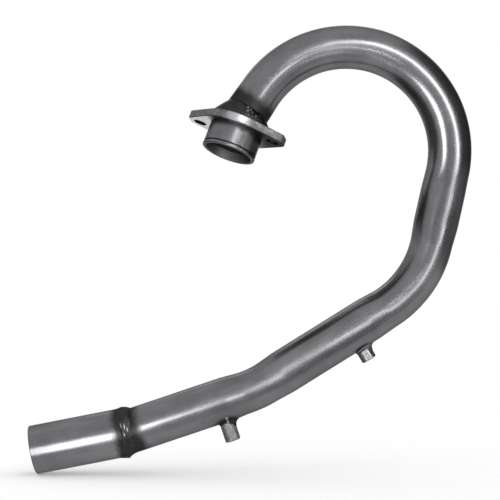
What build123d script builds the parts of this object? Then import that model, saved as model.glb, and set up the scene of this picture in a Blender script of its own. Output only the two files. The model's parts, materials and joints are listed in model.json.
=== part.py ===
"""Motorcycle exhaust header: a bent steel tube with head flange, port collar, outlet sleeve and bosses.

Frame: millimetres, +Z up. The tube's bends lie in one plane across Y. The origin is the centre of the head
flange's gasket face, where the header bolts to the cylinder head.
"""
import os
from math import radians, tan

from build123d import *

# Header tube, bent on one die: every bend has the same centre-line radius
TUBE_OD = 31.8
TUBE_WALL = 1.5
DIE_RADIUS = 74.0
PORT_HEADING = 55.9  # degrees above level at which the tube leaves the flange

# Straight runs, in order from the flange
PORT_RUN = 27.7
SIDE_RUN = 51.5
LOWER_RUN = 99.5
TAIL_RUN = 81.0

# Bends, in order from the flange, in degrees
HEAD_BEND = 158.6
LOWER_BEND = 45.4
TAIL_BEND = 13.3
SLEEVE_BEND = 7.6

# Narrowing of the tube in the plane of each bend, as a share of its diameter; it widens across by as much
HEAD_SQUASH = 0.027
LOWER_SQUASH = 0.055
TAIL_SQUASH = 0.05
SLEEVE_SQUASH = 0.0
SQUASH_FADE = 14.0  # length of straight tube over which the section comes back to round

# Head flange: a plate with two ears, leaning in the plane of the bends and tilted out of it
FLANGE_LEAN = 20.2
FLANGE_TILT = 12.5
FLANGE_CLOCK = 17.0  # turn of the ears about the port's axis
FLANGE_THICKNESS = 6.0
FLANGE_LAND = 7.6  # plate left between the collar and the round part of the outline
PLATE_EDGE = 0.6
STUD_HOLE = 9.0
STUD_STANDOFF = 8.7  # from the collar to each stud's axis
EAR_REACH = 8.3  # from each stud's axis to the blunt end of its ear
EAR_END_WIDTH = 12.0
EAR_CORNER_RADIUS = 3.0

# Port collar, turned to plug into the cylinder head
COLLAR_WALL = 3.8
COLLAR_STEP = 1.1  # the collar's bore over the tube's, in radius
COLLAR_REACH = 16.5  # below the gasket face
COLLAR_SHOULDER = 0.6  # step that seats against the gasket face
COLLAR_FIT = 0.05  # radial room in the flange before welding
LIP_LENGTH = 2.2
LIP_RISE = 0.2
LIP_ROUND = 0.7
GROOVE_WIDTH = 0.8
GROOVE_DEPTH = 0.6
MOUTH_FLARE = 1.3
MOUTH_DEPTH = 6.0

# Outlet sleeve, slipped over the tail of the tube
SLEEVE_FIT = 0.1  # radial room over the tube
SLEEVE_WALL = 1.5
SLEEVE_LENGTH = 66.6
SLEEVE_LAP = 15.0  # tube inside the sleeve
SLEEVE_EDGE = 0.4
SLEEVE_BEVEL = 1.0  # weld bevel at the mouth

# Heat shield bosses on the outside of the loop
BOSS_OD = 11.0
BOSS_EDGE = 0.5
TAP_DRILL = 5.0
TAP_COUNTERSINK = 0.6
DRILL_POINT = 118.0  # degrees
FRONT_BOSS_HEIGHT = 8.9  # clear of the tube
FRONT_BOSS_AT = 28.6  # along the lower run from its start
FRONT_TAP_DEPTH = 6.0
REAR_BOSS_HEIGHT = 13.8
REAR_BOSS_AT = 19.0  # along the tail run from its start
REAR_TAP_DEPTH = 10.0

# Weld beads
FLANGE_BEAD_LEG = 5.5  # out over the plate
FLANGE_BEAD_RISE = 10.0  # up the tube
FLANGE_BEAD_STEPS = 4  # flats that make up its rounded face
SLEEVE_BEAD_LEG = 6.0
SLEEVE_BEAD_CROWN = 1.0
BOSS_BEAD_LEG = 2.2
BEAD_TOE = 0.2  # thickness at which a bead runs out

TUBE_RADIUS = TUBE_OD / 2
COLLAR_BORE_RADIUS = TUBE_RADIUS - TUBE_WALL + COLLAR_STEP
COLLAR_RADIUS = COLLAR_BORE_RADIUS + COLLAR_WALL
SPIGOT_RADIUS = COLLAR_RADIUS - COLLAR_SHOULDER
STUD_OFFSET = COLLAR_RADIUS + STUD_STANDOFF
SLEEVE_BORE_RADIUS = TUBE_RADIUS + SLEEVE_FIT
SLEEVE_RADIUS = SLEEVE_BORE_RADIUS + SLEEVE_WALL
BOSS_RADIUS = BOSS_OD / 2
TAP_RADIUS = TAP_DRILL / 2
OVERRUN = TUBE_OD  # extra length of a bar or cutter that has to pass right through

# Each row is a straight run, the bend after it and that bend's narrowing
BENDS = [
    (PORT_RUN, HEAD_BEND, HEAD_SQUASH),
    (SIDE_RUN, LOWER_BEND, LOWER_SQUASH),
    (LOWER_RUN, TAIL_BEND, TAIL_SQUASH),
    (TAIL_RUN, SLEEVE_BEND, SLEEVE_SQUASH),
]

# Flange frame: local Z runs from the gasket face into the tube, local X along the ears
FLANGE_AT = Rotation(0, FLANGE_LEAN, 0) * Rotation(-FLANGE_TILT, 0, 0) * Rotation(0, 0, -FLANGE_CLOCK)
FLANGE_TOP = Plane(FLANGE_AT * Pos(0, 0, FLANGE_THICKNESS))


def station(point, heading):
    """Frame on the centre line: Z along the tube, X across the plane of the bends, Y out of the loop."""
    return Plane(origin=point, x_dir=(0, 1, 0), z_dir=heading)


def run_starts():
    """Follow the bend table and return the frame at the start of each run, the last at the sleeve's mouth."""
    point = FLANGE_TOP.origin
    heading = Vector(1, 0, 0).rotate(Axis.Y, -PORT_HEADING)
    starts = [station(point, heading)]
    for run, angle, _ in BENDS:
        to_centre = starts[-1].y_dir * -DIE_RADIUS
        point = point + heading * run + to_centre - to_centre.rotate(Axis.Y, angle)
        heading = heading.rotate(Axis.Y, angle)
        starts.append(station(point, heading))
    return starts


RUN_STARTS = run_starts()
LOWER_START = RUN_STARTS[2]
TAIL_START = RUN_STARTS[3]
SLEEVE_MOUTH = RUN_STARTS[4]


def section(squash, inset):
    """Section of the tube, or of its bore when inset by the wall."""
    radius = TUBE_RADIUS - inset
    if squash == 0:
        return Circle(radius)
    change = TUBE_RADIUS * squash
    return Ellipse(radius + change, radius - change)


def fade(frame, first, last, inset):
    """Stretch of tube, from a frame on, that changes from one section to another."""
    return loft([frame * section(first, inset), frame.offset(SQUASH_FADE) * section(last, inset)], ruled=True)


def bent_bar(inset, tail):
    """The bent tube, or its bore when inset by the wall, as a bar from behind the flange into the sleeve."""
    pieces = []
    begin = -OVERRUN
    squash_before = 0
    for start, (run, angle, squash) in zip(RUN_STARTS, BENDS):
        end = run
        if squash_before:
            pieces.append(fade(start, squash_before, 0, inset))
            begin = SQUASH_FADE
        if squash:
            end = run - SQUASH_FADE
            pieces.append(fade(start.offset(end), 0, squash, inset))
        pieces.append(extrude(start.offset(begin) * section(0, inset), end - begin))
        bend_start = start.offset(run)
        bend_axis = Axis(bend_start.origin - bend_start.y_dir * DIE_RADIUS, (0, 1, 0))
        pieces.append(revolve(bend_start * section(squash, inset), bend_axis, angle))
        begin = 0
        squash_before = squash
    pieces.append(extrude(SLEEVE_MOUTH * section(0, inset), tail))
    return Part() + pieces


BAR = bent_bar(0, SLEEVE_LAP)


def header_pipe():
    """The tube, mitred to sit flat on the flange."""
    bore = bent_bar(TUBE_WALL, SLEEVE_LAP + OVERRUN)
    below_flange = extrude(FLANGE_TOP * Circle(2 * OVERRUN), -2 * OVERRUN)
    return BAR - bore - below_flange


def head_flange():
    """Plate tapering from a round middle to two blunt ears, with stud holes and the collar's bore."""
    ear_x = STUD_OFFSET + EAR_REACH - EAR_CORNER_RADIUS
    ear_y = EAR_END_WIDTH / 2 - EAR_CORNER_RADIUS
    corners = [(x, y) for x in (-ear_x, ear_x) for y in (-ear_y, ear_y)]
    rounds = [Circle(COLLAR_RADIUS + FLANGE_LAND)]
    rounds += [Pos(x, y) * Circle(EAR_CORNER_RADIUS) for x, y in corners]
    plate = extrude(make_hull([r.edge() for r in rounds]), FLANGE_THICKNESS)
    rims = plate.edges().group_by(Axis.Z)
    plate = chamfer(rims[0] + rims[-1], PLATE_EDGE)
    openings = [Circle(SPIGOT_RADIUS + COLLAR_FIT)]
    openings += [Pos(x) * Circle(STUD_HOLE / 2) for x in (-STUD_OFFSET, STUD_OFFSET)]
    for opening in openings:
        plate -= extrude(opening, FLANGE_THICKNESS)
    return FLANGE_AT * plate


def port_collar():
    """Turned ring shouldered on the gasket face, with a groove above a rolled lip and a flared mouth."""
    lip = LIP_LENGTH - COLLAR_REACH
    lip_radius = COLLAR_RADIUS + LIP_RISE
    groove_radius = COLLAR_RADIUS - GROOVE_DEPTH
    profile = Polyline(
        (COLLAR_BORE_RADIUS, FLANGE_THICKNESS),
        (SPIGOT_RADIUS, FLANGE_THICKNESS),
        (SPIGOT_RADIUS, 0),
        (COLLAR_RADIUS, 0),
        (COLLAR_RADIUS, lip + GROOVE_WIDTH),
        (groove_radius, lip + GROOVE_WIDTH),
        (groove_radius, lip),
        (lip_radius, lip),
        (lip_radius, -COLLAR_REACH),
        (COLLAR_BORE_RADIUS + MOUTH_FLARE, -COLLAR_REACH),
        (COLLAR_BORE_RADIUS, MOUTH_DEPTH - COLLAR_REACH),
        close=True,
    )
    face = make_face(profile)
    mouth_corner = face.vertices().group_by(Axis.Y)[0].sort_by(Axis.X)[0]
    lip_corners = face.vertices().group_by(Axis.X)[-1]
    lip_round = min(LIP_ROUND, 0.45 * LIP_LENGTH, 0.9 * (GROOVE_DEPTH + LIP_RISE))
    face = fillet([mouth_corner, *lip_corners], lip_round)
    return FLANGE_AT * revolve(Plane.XZ * face, Axis.Z)


def flange_weld():
    """Rounded fillet bead on the flange's top, round the mitred end of the tube."""
    heading = RUN_STARTS[0].z_dir
    slope = heading.dot(FLANGE_TOP.z_dir)
    lean = heading - FLANGE_TOP.z_dir * slope
    sections = []
    for step in range(FLANGE_BEAD_STEPS + 1):
        share = step / FLANGE_BEAD_STEPS
        centre = FLANGE_TOP.origin + heading * (FLANGE_BEAD_RISE * share / slope)
        radius = TUBE_RADIUS + BEAD_TOE + FLANGE_BEAD_LEG * (1 - share**1.5)
        sections.append(Plane(centre, x_dir=lean, z_dir=FLANGE_TOP.z_dir) * Ellipse(radius / slope, radius))
    return loft(sections, ruled=True) - BAR


def outlet_sleeve():
    """Plain tube over the tail, bevelled for the weld at its mouth, its free end broken inside and out."""
    sleeve = extrude(Circle(SLEEVE_RADIUS) - Circle(SLEEVE_BORE_RADIUS), SLEEVE_LENGTH)
    sleeve = chamfer(sleeve.edges().group_by(Axis.Z)[-1], SLEEVE_EDGE)
    mouth_rim = sleeve.edges().group_by(Axis.Z)[0].sort_by(SortBy.RADIUS)[-1]
    return SLEEVE_MOUTH.location * chamfer(mouth_rim, SLEEVE_BEVEL)


def sleeve_weld():
    """Bead round the sleeve's mouth, from the tube up to the top of the sleeve's bevel."""
    drift = SLEEVE_BEAD_LEG**2 / DIE_RADIUS  # more than the bend takes the tube off the sleeve's axis
    on_tube = (TUBE_RADIUS - drift, -SLEEVE_BEAD_LEG)
    on_sleeve = (SLEEVE_RADIUS, SLEEVE_BEVEL)
    core = TUBE_RADIUS - TUBE_WALL
    face = SagittaArc(on_sleeve, on_tube, SLEEVE_BEAD_CROWN)
    sides = Polyline(on_tube, (core, -SLEEVE_BEAD_LEG), (core, SLEEVE_BEVEL), on_sleeve)
    # drawn in YZ, so that the bead's own seam line lies clear of the tube's
    bead = revolve(Plane.YZ * make_face(face.edges() + sides.edges()), Axis.Z)
    filled_sleeve = extrude(Circle(SLEEVE_RADIUS), SLEEVE_LENGTH)
    filled_sleeve = chamfer(filled_sleeve.edges().group_by(Axis.Z)[0], SLEEVE_BEVEL)
    return SLEEVE_MOUTH.location * (bead - filled_sleeve) - BAR


def boss_frame(start, along):
    """Frame on the centre line at a distance along a run, with Z out of the loop."""
    at = start.offset(along)
    return Plane(at.origin, x_dir=at.z_dir, z_dir=at.y_dir)


def boss(frame, height, tap_depth):
    """Round boss saddled on the tube, with a blind tapped hole in its end."""
    end = TUBE_RADIUS + height
    body = extrude(Circle(BOSS_RADIUS), end)
    body = chamfer(body.edges().group_by(Axis.Z)[-1], BOSS_EDGE)
    floor = end - tap_depth
    drilled = Polyline(
        (0, end),
        (TAP_RADIUS + TAP_COUNTERSINK, end),
        (TAP_RADIUS, end - TAP_COUNTERSINK),
        (TAP_RADIUS, floor),
        (0, floor - TAP_RADIUS / tan(radians(DRILL_POINT / 2))),
        close=True,
    )
    body -= revolve(Plane.XZ * make_face(drilled), Axis.Z)
    return frame.location * body - BAR


def boss_weld(frame, height):
    """Flat-faced bead round a boss's foot, filling the corner between it and the tube."""
    post = extrude(frame * Circle(BOSS_RADIUS), TUBE_RADIUS + height)
    tube = extrude(Plane(frame.origin, z_dir=frame.x_dir) * Circle(TUBE_RADIUS), BOSS_OD, both=True)
    joined = tube + post
    corner = joined.edges().filter_by(lambda edge: edge.geom_type not in (GeomType.LINE, GeomType.CIRCLE))
    return chamfer(corner, BOSS_BEAD_LEG) - joined


front_frame = boss_frame(LOWER_START, FRONT_BOSS_AT)
rear_frame = boss_frame(TAIL_START, REAR_BOSS_AT)

nodes = {
    "header_pipe": header_pipe(),
    "head_flange": head_flange(),
    "port_collar": port_collar(),
    "flange_weld": flange_weld(),
    "outlet_sleeve": outlet_sleeve(),
    "sleeve_weld": sleeve_weld(),
    "front_boss": boss(front_frame, FRONT_BOSS_HEIGHT, FRONT_TAP_DEPTH),
    "front_boss_weld": boss_weld(front_frame, FRONT_BOSS_HEIGHT),
    "rear_boss": boss(rear_frame, REAR_BOSS_HEIGHT, REAR_TAP_DEPTH),
    "rear_boss_weld": boss_weld(rear_frame, REAR_BOSS_HEIGHT),
}

os.makedirs("parts", exist_ok=True)
for name, shape in nodes.items():
    export_step(shape, f"parts/{name}.step")
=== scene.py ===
"""Looks of the exhaust header: a smooth drawn tube, rippled weld beads, worn and heat-tinted steel."""
import json
from math import cos, degrees, exp, pi, radians, sin, sqrt

import bpy
import numpy as np
from mathutils import Matrix, Vector, noise


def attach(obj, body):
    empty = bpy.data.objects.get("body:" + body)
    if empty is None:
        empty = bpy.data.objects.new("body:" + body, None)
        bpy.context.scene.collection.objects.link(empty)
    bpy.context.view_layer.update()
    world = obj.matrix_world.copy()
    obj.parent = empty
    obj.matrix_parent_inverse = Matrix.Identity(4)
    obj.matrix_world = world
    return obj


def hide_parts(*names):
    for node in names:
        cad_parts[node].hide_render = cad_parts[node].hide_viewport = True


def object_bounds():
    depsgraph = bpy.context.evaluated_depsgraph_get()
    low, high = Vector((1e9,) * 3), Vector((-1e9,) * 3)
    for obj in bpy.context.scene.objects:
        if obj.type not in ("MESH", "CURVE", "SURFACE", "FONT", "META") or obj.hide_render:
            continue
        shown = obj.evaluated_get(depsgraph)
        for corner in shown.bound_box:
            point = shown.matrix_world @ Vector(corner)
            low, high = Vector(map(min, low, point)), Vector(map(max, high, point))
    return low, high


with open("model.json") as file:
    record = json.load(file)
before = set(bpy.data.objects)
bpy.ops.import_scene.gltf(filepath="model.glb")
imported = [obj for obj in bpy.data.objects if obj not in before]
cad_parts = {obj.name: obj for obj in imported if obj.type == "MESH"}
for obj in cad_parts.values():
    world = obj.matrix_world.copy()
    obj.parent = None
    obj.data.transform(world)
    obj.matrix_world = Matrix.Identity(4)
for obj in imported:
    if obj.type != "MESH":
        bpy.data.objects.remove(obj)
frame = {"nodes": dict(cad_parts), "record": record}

CAD_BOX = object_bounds()
NODES = frame["nodes"]
MOUNTS = {mount["name"]: mount for mount in frame["record"]["mounts"]}

# Header tube, in metres and degrees: the same bend table as the solids
TUBE_RADIUS = 0.0159
TUBE_WALL = 0.0015
DIE_RADIUS = 0.074
PORT_HEADING = 55.9
BENDS = [  # straight run, bend after it, narrowing in that bend
    (0.0277, 158.6, 0.027),
    (0.0515, 45.4, 0.055),
    (0.0995, 13.3, 0.05),
    (0.0810, 7.6, 0.0),
]
SQUASH_FADE = 0.014  # straight run over which a bend's narrowing fades
SLEEVE_LAP = 0.015
TUBE_SIDES = 88
TUBE_STEP = 0.0016
BORE_STRIDE = 4  # rings of the outside for each ring of the bore
WAVE_HEIGHT = 0.00006  # unevenness of the drawn surface
WAVE_SCALE = 55.0

# Head flange
FLANGE_LEAN = 20.2
FLANGE_TILT = 12.5
FLANGE_CLOCK = 17.0
FLANGE_THICKNESS = 0.006
STUD_OFFSET = MOUNTS["head_flange"]["dims"]["pcd_mm"] / 2000
STUD_HOLE_RADIUS = MOUNTS["head_flange"]["dims"]["hole_r_mm"] / 1000
COLLAR_BORE_RADIUS = MOUNTS["port_bore"]["dims"]["r_mm"] / 1000
GROOVE_PLACE = 0.0139  # from the gasket face

# Every weld bead
BEAD_TOE = 0.0002  # thickness of a bead at its edge
BEAD_SINK = 0.00015  # how far a bead's back lies under the faces it is welded to
BEAD_ARC = 14  # steps across a bead's face
TUBE_BEAD_STEPS = 480  # steps round a bead on the tube
BOSS_BEAD_STEPS = 200
RIPPLE_TRAIL = 0.9  # how far the puddles' rings trail at the bead's edges, in puddles
RIPPLE_WANDER = 0.45
RIPPLE_MIDDLE = 0.6
RIPPLE_FINE = 0.3
RIPPLE_FINE_SCALE = 40
RIPPLE_SHAPE = 0.6
PUDDLE_BULGE = 0.7  # share of a ripple's height that also goes along the joint's axis

# Bead at the flange
FLANGE_BEAD_LEG = 0.0055  # out over the plate
FLANGE_BEAD_RISE = 0.0100  # up the tube
FLANGE_LEG_SWING = 0.22  # share by which the leg is longer outside the bend and shorter inside it
FLANGE_RISE_SWING = 0.30
FLANGE_FULLNESS = 1.6
FLANGE_FULLNESS_SWING = 0.5
FLANGE_SWAY, FLANGE_SWAY_SEED = 0.12, 4.0
FLANGE_PUDDLES, FLANGE_RIPPLE, FLANGE_RIPPLE_SEED = 46, 0.00028, 1.0
FLANGE_GLINTS = [  # painted highlights: turn, its spread, place across the bead, its spread
    (263, 3.2, 0.79, 0.09),
    (268, 2.6, 0.57, 0.09),
    (272, 3.4, 0.86, 0.07),
    (258, 2.4, 0.64, 0.08),
    (247, 2.4, 0.50, 0.09),
    (238, 2.0, 0.71, 0.08),
]

# Bead at the sleeve
SLEEVE_RADIUS = MOUNTS["outlet_sleeve"]["dims"]["r_mm"] / 1000
SLEEVE_BEVEL = 0.001
SLEEVE_BEAD_LEG = 0.0068
SLEEVE_LAP_BELOW = 0.0055  # how far the bead runs out over the sleeve
SLEEVE_LAP_ABOVE = 0.0025
SLEEVE_BUILD_UP = 0.00035  # how far the bead stands above the sleeve
SLEEVE_BUILD_BELOW = 0.00085
SLEEVE_BUILD_ABOVE = 0.00010
SLEEVE_SHOULDER = 0.7
SLEEVE_FALL = 2.2
SLEEVE_SWAY, SLEEVE_SWAY_SEED = 0.1, 7.0
SLEEVE_PUDDLES, SLEEVE_RIPPLE, SLEEVE_RIPPLE_SEED = 48, 0.00022, 2.0
# painted highlights on the sleeve's bead: turn, its spread, place across the bead, its spread
SLEEVE_GLINTS = [
    (248, 8, 0.143, 0.05),
    (252, 8, 0.429, 0.05),
    (260, 6, 0.643, 0.045),
    (270, 5, 0.286, 0.04),
]

# Beads at the bosses
BOSS_RADIUS = 0.0055
BOSS_BEAD_LEG, BOSS_BEAD_LEG_HEADWARD = 0.0004, 0.0028
BOSS_BEAD_RISE, BOSS_BEAD_RISE_HEADWARD = 0.0009, 0.0036
BOSS_HOLLOW = 0.7
BOSS_SWAY = 0.15
BOSS_PUDDLES, BOSS_RIPPLE = 17, 0.00014
FRONT_BOSS_SEED, REAR_BOSS_SEED = 11.0, 17.0
# painted highlight on the rear boss's bead
REAR_BOSS_GLINTS = [(262, 7, 0.5, 0.6)]

FLANGE_TURN = (
    Matrix.Rotation(radians(FLANGE_LEAN), 3, "Y")
    @ Matrix.Rotation(radians(-FLANGE_TILT), 3, "X")
    @ Matrix.Rotation(radians(-FLANGE_CLOCK), 3, "Z")
)
FLANGE_NORMAL = FLANGE_TURN @ Vector((0, 0, 1))
FLANGE_FACE = Vector(MOUNTS["head_flange"]["pos_m"])
FLANGE_TOP = FLANGE_FACE + FLANGE_NORMAL * FLANGE_THICKNESS
ACROSS = Vector((0, 1, 0))


def turned(vector, angle):
    """A vector in the plane of the bends, turned clockwise as the camera sees it; degrees."""
    return Matrix.Rotation(radians(angle), 3, "Y") @ vector


def out_of_loop(heading):
    return turned(heading, -90)


def stations():
    """Places along the tube, as (distance, point, heading, narrowing).

    The second value is the distance to the sleeve's mouth.
    """
    rows = []
    point = FLANGE_TOP.copy()
    heading = turned(Vector((1, 0, 0)), -PORT_HEADING)
    distance = 0.0
    before = 0.0
    for run, angle, squash in BENDS:
        steps = max(2, round(run / TUBE_STEP))
        for i in range(steps):
            along = run * i / steps
            leaving = before * (1 - along / SQUASH_FADE)
            coming = squash * (1 - (run - along) / SQUASH_FADE)
            rows.append((distance + along, point + heading * along, heading, max(leaving, coming, 0.0)))
        point = point + heading * run
        distance += run
        centre = point + turned(heading, 90) * DIE_RADIUS
        steps = max(2, round(radians(angle) * DIE_RADIUS / TUBE_STEP))
        for i in range(steps):
            part = angle * i / steps
            spot = centre + turned(point - centre, part)
            rows.append((distance + radians(part) * DIE_RADIUS, spot, turned(heading, part), squash))
        point = centre + turned(point - centre, angle)
        heading = turned(heading, angle)
        distance += radians(angle) * DIE_RADIUS
        before = squash
    steps = round(SLEEVE_LAP / TUBE_STEP)
    for i in range(steps + 1):
        along = SLEEVE_LAP * i / steps
        rows.append((distance + along, point + heading * along, heading, 0.0))
    return rows, distance


ROUTE, MOUTH_DISTANCE = stations()
SLEEVE_AXIS = ROUTE[-1][2]
SLEEVE_MOUTH = ROUTE[-1][1] - SLEEVE_AXIS * SLEEVE_LAP


def new_piece(name, points, faces, stands_for):
    """Mesh object that rides on the part and stands for a node."""
    mesh = bpy.data.meshes.new(name)
    mesh.from_pydata([tuple(p) for p in points], [], faces)
    mesh.validate()
    mesh.update()
    mesh.polygons.foreach_set("use_smooth", [True] * len(mesh.polygons))
    piece = bpy.data.objects.new(name, mesh)
    bpy.context.scene.collection.objects.link(piece)
    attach(piece, "root")
    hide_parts(stands_for)
    return piece


def store_vectors(piece, name, vectors):
    """Keep one vector per vertex on the mesh, for its material to read."""
    attribute = piece.data.attributes.new(name, "FLOAT_VECTOR", "POINT")
    attribute.data.foreach_set("vector", np.array(vectors, np.float32).ravel())


def ring_faces(first, second, count):
    """Quads between two rings of points, given the index where each ring starts."""
    return [(first + i, first + (i + 1) % count, second + (i + 1) % count, second + i) for i in range(count)]


def tube_mesh():
    """Bent tube, mitred on the flange's top, with its bore."""
    heading_0 = ROUTE[0][2]
    mitre_reach = BENDS[0][0]
    points, drawn, faces = [], [], []

    def skin(rows, inset, wave):
        starts = []
        for distance, point, heading, squash in rows:
            starts.append(len(points))
            out = out_of_loop(heading)
            change = TUBE_RADIUS * squash
            for i in range(TUBE_SIDES):
                turn = 2 * pi * i / TUBE_SIDES
                radius = TUBE_RADIUS - inset
                rough = wave * noise.noise(Vector((distance * WAVE_SCALE, cos(turn), sin(turn))))
                radial = out * (cos(turn) * (radius + rough - change))
                radial += ACROSS * (sin(turn) * (radius + rough + change))
                slide = 0.0
                if distance < mitre_reach:
                    mitre = -radial.dot(FLANGE_NORMAL) / heading_0.dot(FLANGE_NORMAL)
                    slide = mitre * (1 - distance / mitre_reach)
                points.append(point + heading * slide + radial)
                drawn.append((radius * cos(turn), radius * sin(turn), distance + slide))
        return starts

    outside = skin(ROUTE, 0.0, WAVE_HEIGHT)
    bore = skin(ROUTE[:-1:BORE_STRIDE] + [ROUTE[-1]], TUBE_WALL, 0.0)
    for first, second in zip(outside, outside[1:]):
        faces += ring_faces(second, first, TUBE_SIDES)
    for first, second in zip(bore, bore[1:]):
        faces += ring_faces(first, second, TUBE_SIDES)
    faces += ring_faces(outside[0], bore[0], TUBE_SIDES)
    faces += ring_faces(bore[-1], outside[-1], TUBE_SIDES)
    piece = new_piece("pipe", points, faces, "header_pipe")
    store_vectors(piece, "drawn", drawn)
    return piece


def bead_mesh(name, section, count, node, glint_spots):
    """Closed bead: section(turn) gives the points of its cross-section, face first.

    A negative count goes round the joint the other way, for a section that would turn the faces inwards.
    """
    points, painted_glints, faces = [], [], []
    size = 0
    steps = abs(count)
    for i in range(steps):
        turn = 2 * pi * i / count
        ring = section(turn)
        size = len(ring)
        points += ring
        for j in range(size):
            painted_glints.append((painted_glint(turn, j / BEAD_ARC, glint_spots), 0.0, 0.0))
    for i in range(steps):
        faces += ring_faces(i * size, (i + 1) % steps * size, size)
    piece = new_piece(name, points, faces, node)
    # painted highlight kept at each point, for the bead's material
    store_vectors(piece, "painted_glint", painted_glints)
    return piece


def sway(turn, seed, amount):
    """Slow unevenness of a hand-laid bead, round the joint."""
    return 1 + amount * noise.noise(Vector((2 * cos(turn), 2 * sin(turn), seed)))


def ripple(turn, puddles, share, seed, depth):
    """Height of the frozen puddles on a bead: scalloped rings that trail towards the bead's edges."""
    wander = noise.noise(Vector((3 * cos(turn), 3 * sin(turn), seed)))
    trail = RIPPLE_TRAIL * (2 * share - 1) ** 2
    phase = (turn / (2 * pi) * puddles + trail + RIPPLE_WANDER * wander) % 1.0
    scallop = sqrt(max(0.0, 1 - (2 * phase - 1) ** 2)) - RIPPLE_MIDDLE
    round_joint = Vector((RIPPLE_FINE_SCALE * cos(turn), RIPPLE_FINE_SCALE * sin(turn), seed + 9 * share))
    fine = noise.noise(round_joint)
    return depth * (scallop + RIPPLE_FINE * fine) * sin(pi * share) ** RIPPLE_SHAPE


def painted_glint(turn, share, glint_spots):
    """Painted highlight on a bead, at a turn round the joint and a share of the way across."""
    bright = 0.0
    for middle, spread, place, width in glint_spots:
        away = (degrees(turn) - middle + 180) % 360 - 180
        bright += exp(-((away / spread) ** 2) - ((share - place) / width) ** 2)
    return min(1.0, bright)


def flange_bead():
    """Bead round the tube's mitred end: a long sloping foot outside the bend, a short full one inside."""
    point, heading = ROUTE[0][1], ROUTE[0][2]
    slope = heading.dot(FLANGE_NORMAL)
    out = out_of_loop(heading)

    def on_plate(radial, radius, height):
        along = (height - radius * radial.dot(FLANGE_NORMAL)) / slope
        return point + radial * radius + heading * along

    def section(turn):
        radial = out * cos(turn) + ACROSS * sin(turn)
        size = sway(turn, FLANGE_SWAY_SEED, FLANGE_SWAY)
        leg = FLANGE_BEAD_LEG * size * (1 + FLANGE_LEG_SWING * cos(turn))
        rise = FLANGE_BEAD_RISE * size * (1 + FLANGE_RISE_SWING * cos(turn))
        fullness = FLANGE_FULLNESS - FLANGE_FULLNESS_SWING * cos(turn)
        ring = []
        for i in range(BEAD_ARC + 1):
            share = i / BEAD_ARC
            lift = ripple(turn, FLANGE_PUDDLES, share, FLANGE_RIPPLE_SEED, FLANGE_RIPPLE)
            radius = TUBE_RADIUS + BEAD_TOE + leg * (1 - share**fullness) + lift
            ring.append(on_plate(radial, radius, rise * share + PUDDLE_BULGE * max(lift, 0.0)))
        ring.append(on_plate(radial, TUBE_RADIUS - BEAD_SINK, rise))
        ring.append(on_plate(radial, TUBE_RADIUS - BEAD_SINK, -BEAD_SINK))
        ring.append(on_plate(radial, TUBE_RADIUS + leg, -BEAD_SINK))
        return ring

    return bead_mesh("flange_bead", section, TUBE_BEAD_STEPS, "flange_weld", FLANGE_GLINTS)


def sleeve_bead():
    """Bead from the tube up to the sleeve's mouth: full on top, a lip that drops hollow below."""
    axis = SLEEVE_AXIS
    out = out_of_loop(axis)

    def tube_offset(along):
        """How far the last bend carries the tube's centre off the sleeve's axis, before the mouth."""
        return -(DIE_RADIUS - sqrt(DIE_RADIUS**2 - along**2))

    def section(turn):
        radial = out * cos(turn) + ACROSS * sin(turn)
        below, above = max(0.0, cos(turn)), max(0.0, -cos(turn))
        leg = SLEEVE_BEAD_LEG * sway(turn, SLEEVE_SWAY_SEED, SLEEVE_SWAY)
        lap = SLEEVE_BEVEL + SLEEVE_LAP_BELOW * below**2 + SLEEVE_LAP_ABOVE * above**2
        build_up = SLEEVE_BUILD_UP + SLEEVE_BUILD_BELOW * below**2 + SLEEVE_BUILD_ABOVE * above**2
        full = (1 - cos(turn)) / 2
        ring = []
        for i in range(BEAD_ARC + 1):
            share = i / BEAD_ARC
            along = lap - (leg + lap) * share
            height = SLEEVE_RADIUS - TUBE_RADIUS + build_up
            if along > 0:
                rise = TUBE_RADIUS + height - build_up * (along / lap) ** SLEEVE_SHOULDER
            else:
                fall = -along / leg
                hollow, crowned = max(0.0, 1 - fall) ** SLEEVE_FALL, 1 - fall**SLEEVE_FALL
                rise = TUBE_RADIUS + BEAD_TOE + height * (hollow + (crowned - hollow) * full)
            rise += ripple(turn, SLEEVE_PUDDLES, share, SLEEVE_RIPPLE_SEED, SLEEVE_RIPPLE)
            centre = out * tube_offset(max(0.0, -along))
            ring.append(SLEEVE_MOUTH + axis * along + centre + radial * rise)
        foot = out * tube_offset(leg)
        ring.append(SLEEVE_MOUTH - axis * leg + foot + radial * (TUBE_RADIUS - BEAD_SINK))
        ring.append(SLEEVE_MOUTH + radial * (TUBE_RADIUS - BEAD_SINK))
        ring.append(SLEEVE_MOUTH + axis * SLEEVE_BEVEL + radial * (SLEEVE_RADIUS - BEAD_SINK))
        ring.append(SLEEVE_MOUTH + axis * (lap + BEAD_SINK) + radial * (SLEEVE_RADIUS - BEAD_SINK))
        return ring

    return bead_mesh("sleeve_bead", section, -TUBE_BEAD_STEPS, "sleeve_weld", SLEEVE_GLINTS)


def boss_foot(mount):
    """Where a boss's axis meets the tube's centre line, and that axis."""
    axis = Vector(MOUNTS[mount]["axis"]).normalized()
    place = Vector(MOUNTS[mount]["pos_m"])
    nearest = min(ROUTE, key=lambda row: (place - row[1]).cross(axis).length)
    return place - axis * (place - nearest[1]).dot(axis), axis


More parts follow.
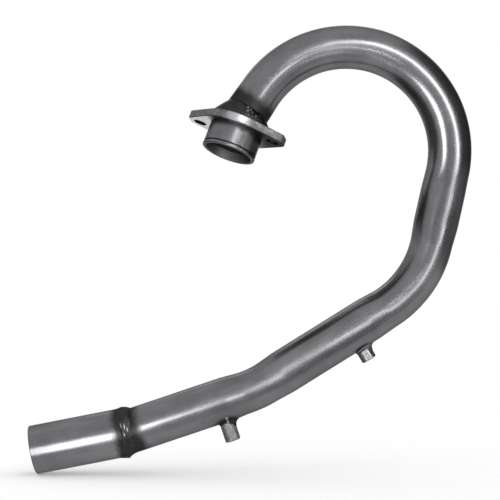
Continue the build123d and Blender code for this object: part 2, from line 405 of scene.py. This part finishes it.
def boss_bead(mount, seed, glint_spots):
    """Bead round the foot of a boss: a hollow fillet, largest on the side towards the head of the tube."""
    centre, axis = boss_foot(mount)
    along = ACROSS.cross(axis)

    def on_tube(turn, radius, lift):
        side = radius * sin(turn)
        height = sqrt(TUBE_RADIUS**2 - side**2)
        return centre + along * (radius * cos(turn)) + ACROSS * side + axis * (height + lift)

    def section(turn):
        size = sway(turn, seed, BOSS_SWAY)
        headward = (1 - cos(turn)) / 2
        leg = size * (BOSS_BEAD_LEG + BOSS_BEAD_LEG_HEADWARD * headward**3)
        rise = size * (BOSS_BEAD_RISE + BOSS_BEAD_RISE_HEADWARD * headward**3)
        hollow = 1 + BOSS_HOLLOW * headward
        ring = []
        for i in range(BEAD_ARC + 1):
            share = i / BEAD_ARC
            lift = PUDDLE_BULGE * ripple(turn, BOSS_PUDDLES, share, seed, BOSS_RIPPLE)
            radius = BOSS_RADIUS + BEAD_TOE + leg * (1 - share) ** hollow + lift
            ring.append(on_tube(turn, radius, BEAD_TOE + rise * share**hollow + lift))
        ring.append(on_tube(turn, BOSS_RADIUS - BEAD_SINK, rise))
        ring.append(on_tube(turn, BOSS_RADIUS - BEAD_SINK, -BEAD_SINK))
        ring.append(on_tube(turn, BOSS_RADIUS + leg, -BEAD_SINK))
        return ring

    return bead_mesh(f"{mount}_bead", section, -BOSS_BEAD_STEPS, f"{mount}_weld", glint_spots)


def grey(value):
    """Neutral steel tone, a touch cool."""
    return (value, value, value * 1.04, 1)


WHITE = (1, 1, 1, 1)
BLACK = (0, 0, 0, 1)
EDGE_TINT = (0.45, 0.45, 0.46, 1)  # of light that grazes the steel
STEEL_DULL = grey(0.130)
STEEL = grey(0.172)
STEEL_PALE = grey(0.205)
TURNED = grey(0.27)
RUBBED = grey(0.42)
# painted highlight: a pale grey that stands in for reflected light
PAINTED_HIGHLIGHT = grey(0.55)
# dark oxide of heat tint, also used as painted shade
HEAT_TINT_AND_SHADE = grey(0.031)
# painted shade for the inside of bores
PAINTED_BORE_SHADE = grey(0.095)
WELD_PALE = grey(0.042)

NOISE_SPAN = (0.3, 0.7)  # where most of a noise's values lie
DRAWN_ROUGHNESS = (0.215, 0.285)
PATCH_ROUGHNESS = (-0.02, 0.035)  # added to the drawn steel's
FRONT_BOSS_ROUGHNESS = (0.28, 0.36)
REAR_BOSS_ROUGHNESS = (0.52, 0.66)
COLLAR_ROUGHNESS = (0.26, 0.36)
PLATE_ROUGHNESS = (0.42, 0.3)
WELD_ROUGHNESS = (0.30, 0.46)
TINT_ROUGHNESS = 0.42

# Depth of each finish's fine relief, in metres
DRAWN_RELIEF = 0.000013
BOSS_RELIEF = 0.00003
COLLAR_RELIEF = 0.00001
PLATE_RELIEF = 0.000012
WELD_RELIEF = 0.00004

# Heat tint, in metres from a joint: full to the first distance, gone by the second
FLANGE_TINT = (0.0185, 0.0260)
TAIL_TINT = (0.0090, 0.0165)
SLEEVE_TINT = (0.0030, 0.0090)
TUBE_TINTS = {"front_boss": (0.0050, 0.0056), "rear_boss": (0.0090, 0.0150)}
TUBE_TINT_WEIGHT = 0.8
FRONT_BOSS_TINT = (0.0008, 0.0016)
REAR_BOSS_TINT = (-0.0002, 0.0006)
PLATE_TINT = (0.022, 0.029)


class Nodes:
    """Short hand for wiring a material's nodes."""

    def __init__(self, name):
        self.material = bpy.data.materials.new(name)
        self.material.use_nodes = True
        self.tree = self.material.node_tree
        self.tree.nodes.clear()
        self.output = self.tree.nodes.new("ShaderNodeOutputMaterial")
        self.shader = self.tree.nodes.new("ShaderNodeBsdfPrincipled")
        self.link(self.shader.outputs["BSDF"], self.output.inputs["Surface"])

    def link(self, source, target):
        self.tree.links.new(source, target)

    def put(self, target, value):
        if isinstance(value, bpy.types.NodeSocket):
            self.link(value, target)
        else:
            target.default_value = value

    def math(self, operation, a, b=0.0):
        node = self.tree.nodes.new("ShaderNodeMath")
        node.operation = operation
        self.put(node.inputs[0], a)
        self.put(node.inputs[1], b)
        return node.outputs[0]

    def highest(self, masks):
        top = masks[0]
        for mask in masks[1:]:
            top = self.math("MAXIMUM", top, mask)
        return top

    def mapped(self, value, low, high, to_low, to_high):
        node = self.tree.nodes.new("ShaderNodeMapRange")
        node.interpolation_type = "SMOOTHSTEP"
        for socket, number in zip(node.inputs[:5], (value, low, high, to_low, to_high)):
            self.put(socket, number)
        return node.outputs[0]

    def rising(self, value, none, full, weight=1.0):
        """Mask that is nothing up to one value and has its weight from the other."""
        return self.mapped(value, none, full, 0.0, weight)

    def fading(self, value, full, none, weight=1.0):
        """Mask that has its weight up to one value and is nothing from the other."""
        return self.mapped(value, full, none, weight, 0.0)

    def mix(self, factor, a, b, kind="RGBA"):
        node = self.tree.nodes.new("ShaderNodeMix")
        node.data_type = kind
        self.put(node.inputs["Factor"], factor)
        self.put(node.inputs["A"], a)
        self.put(node.inputs["B"], b)
        return node.outputs["Result"]

    def noise(self, vector, scale, detail=3.0, roughness=0.55):
        node = self.tree.nodes.new("ShaderNodeTexNoise")
        self.put(node.inputs["Vector"], vector)
        node.inputs["Scale"].default_value = scale
        node.inputs["Detail"].default_value = detail
        node.inputs["Roughness"].default_value = roughness
        return node.outputs["Fac"]

    def stretched(self, vector, scale):
        node = self.tree.nodes.new("ShaderNodeMapping")
        self.put(node.inputs["Vector"], vector)
        node.inputs["Scale"].default_value = scale
        return node.outputs["Vector"]

    def split(self, vector):
        node = self.tree.nodes.new("ShaderNodeSeparateXYZ")
        self.link(vector, node.inputs[0])
        return node.outputs

    def join(self, x, y, z):
        node = self.tree.nodes.new("ShaderNodeCombineXYZ")
        for socket, value in zip(node.inputs, (x, y, z)):
            self.put(socket, value)
        return node.outputs[0]

    def stored(self, name):
        node = self.tree.nodes.new("ShaderNodeAttribute")
        node.attribute_name = name
        return node.outputs["Vector"]

    def position(self):
        return self.tree.nodes.new("ShaderNodeTexCoord").outputs["Object"]

    def in_frame(self, origin, turn):
        """Position in a frame at an origin, whose axes are the rows of a turn."""
        node = self.tree.nodes.new("ShaderNodeMapping")
        self.link(self.position(), node.inputs["Vector"])
        node.inputs["Rotation"].default_value = turn.to_euler()
        node.inputs["Location"].default_value = -(turn @ Vector(origin))
        return node.outputs["Vector"]

    def on_axis(self, origin, axis):
        """Position in a frame at an origin, with Z along an axis."""
        return self.in_frame(origin, Vector(axis).to_track_quat("Z", "Y").to_matrix().transposed())

    def distance(self, vector, point):
        node = self.tree.nodes.new("ShaderNodeVectorMath")
        node.operation = "DISTANCE"
        self.link(vector, node.inputs[0])
        node.inputs[1].default_value = point
        return node.outputs["Value"]

    def radius(self, x, y):
        return self.math("SQRT", self.math("ADD", self.math("POWER", x, 2.0), self.math("POWER", y, 2.0)))

    def away(self, value, middle):
        """How far a value is from a middle one, on either side."""
        return self.math("ABSOLUTE", self.math("SUBTRACT", value, middle))

    def ragged(self, value, vector, scale, amount):
        """A measure made uneven, for edges that aren't drawn with a ruler."""
        uneven = self.math("SUBTRACT", self.noise(vector, scale, 3.0), 0.5)
        return self.math("ADD", value, self.math("MULTIPLY", uneven, amount))

    def finish(self, colour, rough, height, depth, edge=EDGE_TINT):
        """Wire colour, roughness, fine relief and the tint of grazing light into metal."""
        self.put(self.shader.inputs["Base Color"], colour)
        self.put(self.shader.inputs["Roughness"], rough)
        self.shader.inputs["Metallic"].default_value = 1.0
        self.put(self.shader.inputs["Specular Tint"], edge)
        bump = self.tree.nodes.new("ShaderNodeBump")
        bump.inputs["Distance"].default_value = depth
        self.link(height, bump.inputs["Height"])
        self.link(bump.outputs["Normal"], self.shader.inputs["Normal"])
        return self.material


def tinted(n, colour, rough, mask, tint=HEAT_TINT_AND_SHADE):
    """Darken a finish where the mask is 1: heat tint's dark oxide, and painted shade for the masks of the
    groove, holes, bores and the plate's right ear.
    """
    return n.mix(mask, colour, tint), n.mix(mask, rough, TINT_ROUGHNESS, "FLOAT")


def drawn_finish(n, drawn):
    """Colour, roughness and height of drawn steel, from a vector round and along the tube."""
    lines = n.noise(n.stretched(drawn, (1, 1, 0.012)), scale=1500, detail=4.0, roughness=0.6)
    patches = n.noise(n.stretched(drawn, (1, 1, 0.25)), scale=90, detail=3.0, roughness=0.6)
    cloud = n.noise(drawn, scale=28, detail=4.0, roughness=0.62)
    grain = n.noise(drawn, scale=2600, detail=2.0, roughness=0.6)
    colour = n.mix(n.rising(cloud, 0.35, 0.68), STEEL_DULL, STEEL)
    colour = n.mix(n.rising(patches, 0.42, 0.72, weight=0.6), colour, STEEL_PALE)
    colour = n.mix(n.rising(lines, 0.5, 0.8, weight=0.4), colour, STEEL_DULL)
    rough = n.mapped(lines, *NOISE_SPAN, *DRAWN_ROUGHNESS)
    rough = n.math("ADD", rough, n.mapped(patches, *NOISE_SPAN, *PATCH_ROUGHNESS))
    height = n.math("ADD", n.math("MULTIPLY", lines, 0.6), n.math("MULTIPLY", grain, 0.04))
    return colour, rough, height


def painted_boss_highlight(n):
    """Mask of a painted highlight on the tube's near side, just above the rear boss."""
    axis = Vector(MOUNTS["rear_boss"]["axis"]).normalized()
    turn = Matrix((ACROSS.cross(axis), ACROSS, axis))
    x, y, z = n.split(n.in_frame(MOUNTS["rear_boss"]["pos_m"], turn))
    middle = n.fading(n.away(x, -0.0010), 0.0003, 0.0012, weight=0.9)
    length = n.fading(n.away(z, -0.0104), 0.0016, 0.0032)
    near = n.fading(y, -0.004, -0.002)
    return n.math("MULTIPLY", n.math("MULTIPLY", middle, length), near)


def tube_material():
    """Drawn tube: heat tint by the flange, by the sleeve and round the bosses, painted shade in the bore, a
    painted highlight above the rear boss.
    """
    n = Nodes("tube_steel")
    drawn = n.stored("drawn")
    colour, rough, height = drawn_finish(n, drawn)
    x, y, along = n.split(drawn)
    place = n.ragged(along, drawn, scale=130, amount=0.007)
    masks = [
        n.fading(place, *FLANGE_TINT),
        n.rising(place, MOUTH_DISTANCE - TAIL_TINT[1], MOUTH_DISTANCE - TAIL_TINT[0]),
    ]
    for mount, reach in TUBE_TINTS.items():
        centre, axis = boss_foot(mount)
        gap = n.distance(n.position(), centre + axis * TUBE_RADIUS)
        uneven = n.ragged(gap, drawn, scale=260, amount=0.003)
        masks.append(n.fading(uneven, *reach, weight=TUBE_TINT_WEIGHT))
    colour, rough = tinted(n, colour, rough, n.highest(masks))
    # painted highlight on the near side above the rear boss
    colour = n.mix(painted_boss_highlight(n), colour, PAINTED_HIGHLIGHT)
    # painted shade inside the bore
    bore = n.fading(n.radius(x, y), TUBE_RADIUS - TUBE_WALL * 0.7, TUBE_RADIUS - TUBE_WALL * 0.3)
    colour, rough = tinted(n, colour, rough, bore, PAINTED_BORE_SHADE)
    return n.finish(colour, rough, height, DRAWN_RELIEF)


def sleeve_material():
    """Drawn sleeve: heat tint by its weld, painted shade inside."""
    n = Nodes("sleeve_steel")
    drawn = n.on_axis(SLEEVE_MOUTH, SLEEVE_AXIS)
    colour, rough, height = drawn_finish(n, drawn)
    x, y, along = n.split(drawn)
    mask = n.fading(n.ragged(along, drawn, scale=130, amount=0.006), *SLEEVE_TINT)
    colour, rough = tinted(n, colour, rough, mask)
    # painted shade inside the sleeve
    bore = n.fading(n.radius(x, y), SLEEVE_RADIUS - 0.0012, SLEEVE_RADIUS - 0.0007)
    colour, rough = tinted(n, colour, rough, bore, PAINTED_BORE_SHADE)
    return n.finish(colour, rough, height, DRAWN_RELIEF)


def turned_finish(n, spot, along, scale, pale):
    """Colour and rings of lathe-turned steel, mottled at a scale."""
    rings = n.noise(n.join(0.0, 0.0, along), scale=4200, detail=3.0, roughness=0.7)
    cloud = n.noise(spot, scale, detail=4.0, roughness=0.65)
    colour = n.mix(n.rising(cloud, 0.38, 0.66), STEEL, pale)
    colour = n.mix(n.rising(rings, 0.5, 0.75, weight=0.35), colour, STEEL_DULL)
    return colour, rings


def boss_material(mount, roughness, tint):
    """Turned boss, heat tinted at its welded foot."""
    n = Nodes(f"{mount}_steel")
    centre, axis = boss_foot(mount)
    spot = n.on_axis(centre + axis * TUBE_RADIUS, axis)
    along = n.split(spot)[2]
    colour, rings = turned_finish(n, spot, along, 420, TURNED)
    rough = n.mapped(rings, *NOISE_SPAN, *roughness)
    mask = n.fading(n.ragged(along, spot, scale=300, amount=0.0012), *tint)
    colour, rough = tinted(n, colour, rough, mask)
    return n.finish(colour, rough, rings, BOSS_RELIEF)


def collar_material():
    """Turned collar: heat tint where it is welded, painted shade in its groove and inside."""
    n = Nodes("collar_steel")
    spot = n.on_axis(FLANGE_FACE, -FLANGE_NORMAL)
    x, y, along = n.split(spot)
    colour, rings = turned_finish(n, spot, along, 90, STEEL_DULL)
    rough = n.mapped(rings, *NOISE_SPAN, *COLLAR_ROUGHNESS)
    # painted shade in the groove by the lip
    groove = n.fading(n.away(along, GROOVE_PLACE), 0.0004, 0.0007, weight=0.9)
    root = n.fading(along, -0.004, 0.0)
    colour, rough = tinted(n, colour, rough, n.highest([groove, root]))
    # painted shade inside the collar's bore
    bore = n.fading(n.radius(x, y), COLLAR_BORE_RADIUS + 0.0010, COLLAR_BORE_RADIUS + 0.0022)
    colour, rough = tinted(n, colour, rough, bore, PAINTED_BORE_SHADE)
    return n.finish(colour, rough, rings, COLLAR_RELIEF)


def plate_material():
    """Cut plate: dull faces, a rubbed rim, a painted highlight under one ear and painted shade under the
    other, painted shade in the stud holes, tint by the weld.
    """
    n = Nodes("plate_steel")
    spot = n.in_frame(FLANGE_FACE, FLANGE_TURN.transposed())
    x, y, z = n.split(spot)
    cloud = n.noise(spot, scale=90, detail=5.0, roughness=0.65)
    worn = n.noise(spot, scale=220, detail=3.0, roughness=0.6)
    grain = n.noise(spot, scale=1800, detail=2.0, roughness=0.6)
    colour = n.mix(n.rising(cloud, 0.35, 0.7), STEEL_DULL, STEEL)
    colour = n.mix(n.rising(worn, 0.52, 0.7, weight=0.8), colour, TURNED)
    rough = n.mapped(worn, *NOISE_SPAN, *PLATE_ROUGHNESS)
    rim = n.distance(spot, Vector((0.006, -0.0265, FLANGE_THICKNESS / 2)))
    rubbed = n.fading(n.ragged(rim, spot, scale=300, amount=0.010), 0.004, 0.011, weight=0.85)
    colour = n.mix(rubbed, colour, RUBBED)
    underside = n.fading(z, 0.0001, 0.0006)
    # painted highlight under the left ear and painted shade under the right one
    painted_ear_highlight = n.fading(n.ragged(x, spot, scale=150, amount=0.006), -0.019, -0.013)
    painted_ear_shade = n.rising(n.ragged(x, spot, scale=150, amount=0.008), 0.014, 0.024, weight=0.85)
    painted_ear_highlight = n.math("MULTIPLY", underside, painted_ear_highlight)
    colour = n.mix(painted_ear_highlight, colour, PAINTED_HIGHLIGHT)
    # the painted highlight also whitens the tint of grazing reflections
    edge = n.mix(painted_ear_highlight, EDGE_TINT, WHITE)
    top = n.rising(z, FLANGE_THICKNESS - 0.0012, FLANGE_THICKNESS - 0.0002)
    near = n.fading(n.ragged(n.radius(x, y), spot, scale=150, amount=0.006), *PLATE_TINT)
    masks = [n.math("MULTIPLY", underside, painted_ear_shade), n.math("MULTIPLY", top, near)]
    # painted shade on the walls of the stud holes
    for side in (-1, 1):
        wall = n.radius(n.math("SUBTRACT", x, side * STUD_OFFSET), y)
        masks.append(n.fading(wall, STUD_HOLE_RADIUS + 0.0001, STUD_HOLE_RADIUS + 0.0004))
    colour, rough = tinted(n, colour, rough, n.highest(masks))
    return n.finish(colour, rough, grain, PLATE_RELIEF, edge)


def weld_material(name, dark, pale):
    """Weld metal: a dark tone with paler patches and painted highlights along its ridges."""
    n = Nodes(name)
    spot = n.position()
    cloud = n.noise(spot, scale=260, detail=4.0, roughness=0.6)
    fine = n.noise(spot, scale=1500, detail=3.0, roughness=0.6)
    bright = n.split(n.stored("painted_glint"))[0]
    colour = n.mix(n.rising(cloud, 0.35, 0.7), dark, pale)
    # painted highlights where the beads would catch the lamps
    colour = n.mix(n.rising(bright, 0.15, 0.85, weight=0.6), colour, PAINTED_HIGHLIGHT)
    rough = n.mapped(fine, *NOISE_SPAN, *WELD_ROUGHNESS)
    return n.finish(colour, rough, fine, WELD_RELIEF)


def dress(piece, material):
    piece.data.materials.clear()
    piece.data.materials.append(material)


dress(tube_mesh(), tube_material())
weld = weld_material("weld_steel", HEAT_TINT_AND_SHADE, WELD_PALE)
for bead in (flange_bead(), sleeve_bead(), boss_bead("rear_boss", REAR_BOSS_SEED, REAR_BOSS_GLINTS)):
    dress(bead, weld)
pale_weld = weld_material("pale_weld_steel", STEEL_DULL, STEEL)
dress(boss_bead("front_boss", FRONT_BOSS_SEED, []), pale_weld)
dress(NODES["outlet_sleeve"], sleeve_material())
dress(NODES["head_flange"], plate_material())
dress(NODES["port_collar"], collar_material())
dress(NODES["front_boss"], boss_material("front_boss", FRONT_BOSS_ROUGHNESS, FRONT_BOSS_TINT))
dress(NODES["rear_boss"], boss_material("rear_boss", REAR_BOSS_ROUGHNESS, REAR_BOSS_TINT))

# Camera: level, square to the plane of the bends
CAMERA_DISTANCE = 1.150
FRAME_WIDTH = 0.3575  # of the plane of the bends
FRAME_CENTRE = Vector((0.01004, 0.0, -0.08405))
SENSOR = 36.0

camera_data = bpy.data.cameras.new("camera")
camera_data.sensor_width = SENSOR
camera_data.lens = SENSOR * CAMERA_DISTANCE / FRAME_WIDTH
camera = bpy.data.objects.new("camera", camera_data)
camera.location = FRAME_CENTRE + Vector((0, FLANGE_TOP.y - CAMERA_DISTANCE, 0))
camera.rotation_euler = (pi / 2, 0, 0)
bpy.context.scene.collection.objects.link(camera)
bpy.context.scene.camera = camera

FLOOR_COLOUR = (0.78, 0.78, 0.78, 1)
FLOOR_LIFT = 0.24  # what the floor lacks of white, added for the camera alone
FLOOR_HALF = 30.0  # metres from the middle of the floor to its sides
DISC_SIDES = 48


def stage_object(name, points, faces, material):
    mesh = bpy.data.meshes.new(name)
    mesh.from_pydata([tuple(p) for p in points], [], faces)
    mesh.materials.append(material)
    thing = bpy.data.objects.new(name, mesh)
    bpy.context.scene.collection.objects.link(thing)
    return thing


def floor_material():
    """Pale floor that meets the white background and keeps a soft shadow."""
    n = Nodes("floor")
    n.shader.inputs["Base Color"].default_value = FLOOR_COLOUR
    n.shader.inputs["Roughness"].default_value = 1.0
    n.shader.inputs["Specular IOR Level"].default_value = 0.0
    n.shader.inputs["Emission Color"].default_value = WHITE
    path = n.tree.nodes.new("ShaderNodeLightPath")
    lift = n.math("MULTIPLY", path.outputs["Is Camera Ray"], FLOOR_LIFT)
    n.put(n.shader.inputs["Emission Strength"], lift)
    return n.material


def glow_material(name, strength=None):
    """Light of a softbox or tone of a card; without a strength, it is read from the mesh's own points."""
    n = Nodes(name)
    n.shader.inputs["Base Color"].default_value = BLACK
    n.shader.inputs["Specular IOR Level"].default_value = 0.0
    n.shader.inputs["Emission Color"].default_value = WHITE
    if strength is None:
        strength = n.split(n.stored("glow"))[0]
    n.put(n.shader.inputs["Emission Strength"], strength)
    return n.material


def reflected_only(thing, casts_shadow):
    """Leave a lamp or card to the steel's reflections."""
    thing.visible_camera = False
    thing.visible_diffuse = False
    thing.visible_shadow = casts_shadow


def card(name, centre, facing, width, height, strength, roll=0.0, casts_shadow=False):
    """Flat rectangle that faces a point: a dark or pale card, or a softbox."""
    w, h = width / 2, height / 2
    corners = [(-w, -h, 0), (w, -h, 0), (w, h, 0), (-w, h, 0)]
    thing = stage_object(name, corners, [(0, 1, 2, 3)], glow_material(name, strength))
    thing.location = centre
    aim = (Vector(facing) - Vector(centre)).to_track_quat("Z", "Y").to_matrix()
    thing.rotation_euler = (aim @ Matrix.Rotation(radians(roll), 3, "Z")).to_euler()
    reflected_only(thing, casts_shadow)


def disc(name, centre, radius, strength):
    """Round card parallel to the plane of the bends."""
    points = []
    for i in range(DISC_SIDES):
        turn = 2 * pi * i / DISC_SIDES
        points.append(Vector(centre) + Vector((radius * cos(turn), 0, radius * sin(turn))))
    thing = stage_object(name, points, [tuple(range(DISC_SIDES))], glow_material(name, strength))
    reflected_only(thing, False)


def ribbon(name, depth, rows):
    """Bent strip parallel to the plane of the bends, in millimetres.

    Each row is x and z of one edge, x and z of the other edge, and strength.
    """
    points, glows = [], []
    for x_1, z_1, x_2, z_2, strength in rows:
        points += [Vector((x_1, -depth, z_1)) / 1000, Vector((x_2, -depth, z_2)) / 1000]
        glows += [(strength, 0.0, 0.0)] * 2
    faces = [(2 * i, 2 * i + 1, 2 * i + 3, 2 * i + 2) for i in range(len(rows) - 1)]
    thing = stage_object(name, points, faces, glow_material(name))
    store_vectors(thing, "glow", glows)
    reflected_only(thing, False)


floor_level = CAD_BOX[0].z
floor_sides = ((-1, -1), (1, -1), (1, 1), (-1, 1))
floor_corners = [(x * FLOOR_HALF, y * FLOOR_HALF, floor_level) for x, y in floor_sides]
floor = stage_object("floor", floor_corners, [(0, 1, 2, 3)], floor_material())
floor.visible_glossy = False

world = bpy.data.worlds.new("studio")
world.use_nodes = True
world.node_tree.nodes["Background"].inputs["Color"].default_value = WHITE
world.node_tree.nodes["Background"].inputs["Strength"].default_value = 1.0
world.cycles.sampling_method = "NONE"
bpy.context.scene.world = world

# Lamps: a long bent softbox in front of the loop, one behind it, and a small one close to the head bend
ribbon("key_ring", 400, [
    (120, -18, 78, 50, 7),
    (87, 45, 57, 117, 9),
    (80, 92, 60, 170, 9),
    (86, 134, 77, 219, 10),
    (130, 205, 147, 305, 11),
    (176, 214, 214, 316, 11),
    (222, 208, 283, 305, 11),
    (276, 175, 362, 255, 11),
    (353, 104, 472, 151, 11),
    (381, 36, 511, 51, 10),
    (470, -53, 630, -77, 10),
    (402, -69, 541, -95, 6.5),
    (354, -81, 474, -105, 5.5),
    (328, -104, 441, -127, 5.5),
    (298, -155, 398, -200, 5.5),
    (230, -179, 303, -240, 6),
    (152, -153, 208, -237, 7),
    (122, -145, 175, -228, 7),
    (93, -136, 144, -217, 7),
    (30, -110, 71, -177, 7),
    (-28, -67, 14, -136, 5),
    (-93, -18, -47, -90, 4.2),
])
card("key_port", (0.137, -0.399, -0.020), (0.137, 0, -0.020), 0.090, 0.050, 12.0, roll=32)
ribbon("key_tail", 401, [
    (-91, 10, -53, -70, 4.2),
    (-72, -1, -38, -97, 4.2),
    (-54, -90, -23, -180, 5),
    (-50, -145, -20, -234, 6),
    (-64, -166, -34, -255, 7),
    (-83, -173, -53, -262, 6.5),
    (-116, -159, -86, -248, 6),
    (-131, -155, -92, -274, 10),
    (-148, -139, -109, -344, 12),
    (-179, -154, -141, -359, 12),
    (-219, -161, -181, -367, 12),
])
card("key_back", (-0.050, 0.600, 0.330), (0.020, 0, -0.080), 0.500, 0.160, 2.8)
card("spot_head", (0.113, -0.060, -0.001), (0.113, 0, -0.001), 0.022, 0.026, 13.0)

# Dark cards, which shape the tube's edges
ribbon("dark_low", 430, [
    (381, -290, 947, -721, 0.5),
    (265, -315, 605, -789, 0.5),
    (200, -305, 495, -758, 0.5),
    (143, -292, 498, -861, 0.5),
    (76, -289, 270, -614, 0.5),
    (23, -325, 116, -625, 0.5),
])
disc("dark_middle", (0.195, -0.425, 0.030), 0.085, 0.3)
for dark in (
    ("dark_right_edge", (1.300, 0.350, 0.745), (0.100, 0.350, 0.745), 2.80, 2.61, 0.40),
    ("dark_right", (1.290, 0.330, 0.820), (0.100, 0.330, 0.820), 2.36, 1.96, 0.14),
    ("dark_left_edge", (-1.050, 0.450, -0.900), (0.100, 0.450, -0.900), 2.20, 2.30, 0.60),
    ("dark_left", (-1.040, 0.425, -0.880), (0.100, 0.425, -0.880), 1.75, 1.90, 0.20),
    ("dark_loop", (0.004, 0.008, -0.072), (0.049, 0.008, -0.150), 0.062, 0.058, 0.12),
    ("dark_collar", (0.058, 0.015, -0.036), (0, 0.015, -0.036), 0.090, 0.030, 0.05),
):
    card(*dark)

# Flags about as bright as the room, which keep the lamps off stretches of the tube
for flag in (
    ("door_left", (0.100, -0.044, 0.003), (0, -0.044, 0.003), 0.032, 0.058, 0.9),
    ("door_top", (0.119, -0.049, 0.027), (0.119, -0.049, 1.0), 0.042, 0.022, 0.9),
    ("door_low", (0.119, -0.045, -0.025), (0.119, -0.045, -1.0), 0.042, 0.030, 0.9),
    ("flag_head", (0.090, -0.100, -0.024), (0.090, 0, -0.024), 0.040, 0.044, 1.0),
    ("flag_crown", (0.085, -0.100, 0.021), (0.085, 0, 0.021), 0.038, 0.038, 1.0),
    ("flag_side", (0.143, -0.100, -0.020), (0.143, 0, -0.020), 0.058, 0.130, 0.8),
):
    card(*flag, casts_shadow=True)

bpy.context.scene.view_settings.view_transform = "Standard"
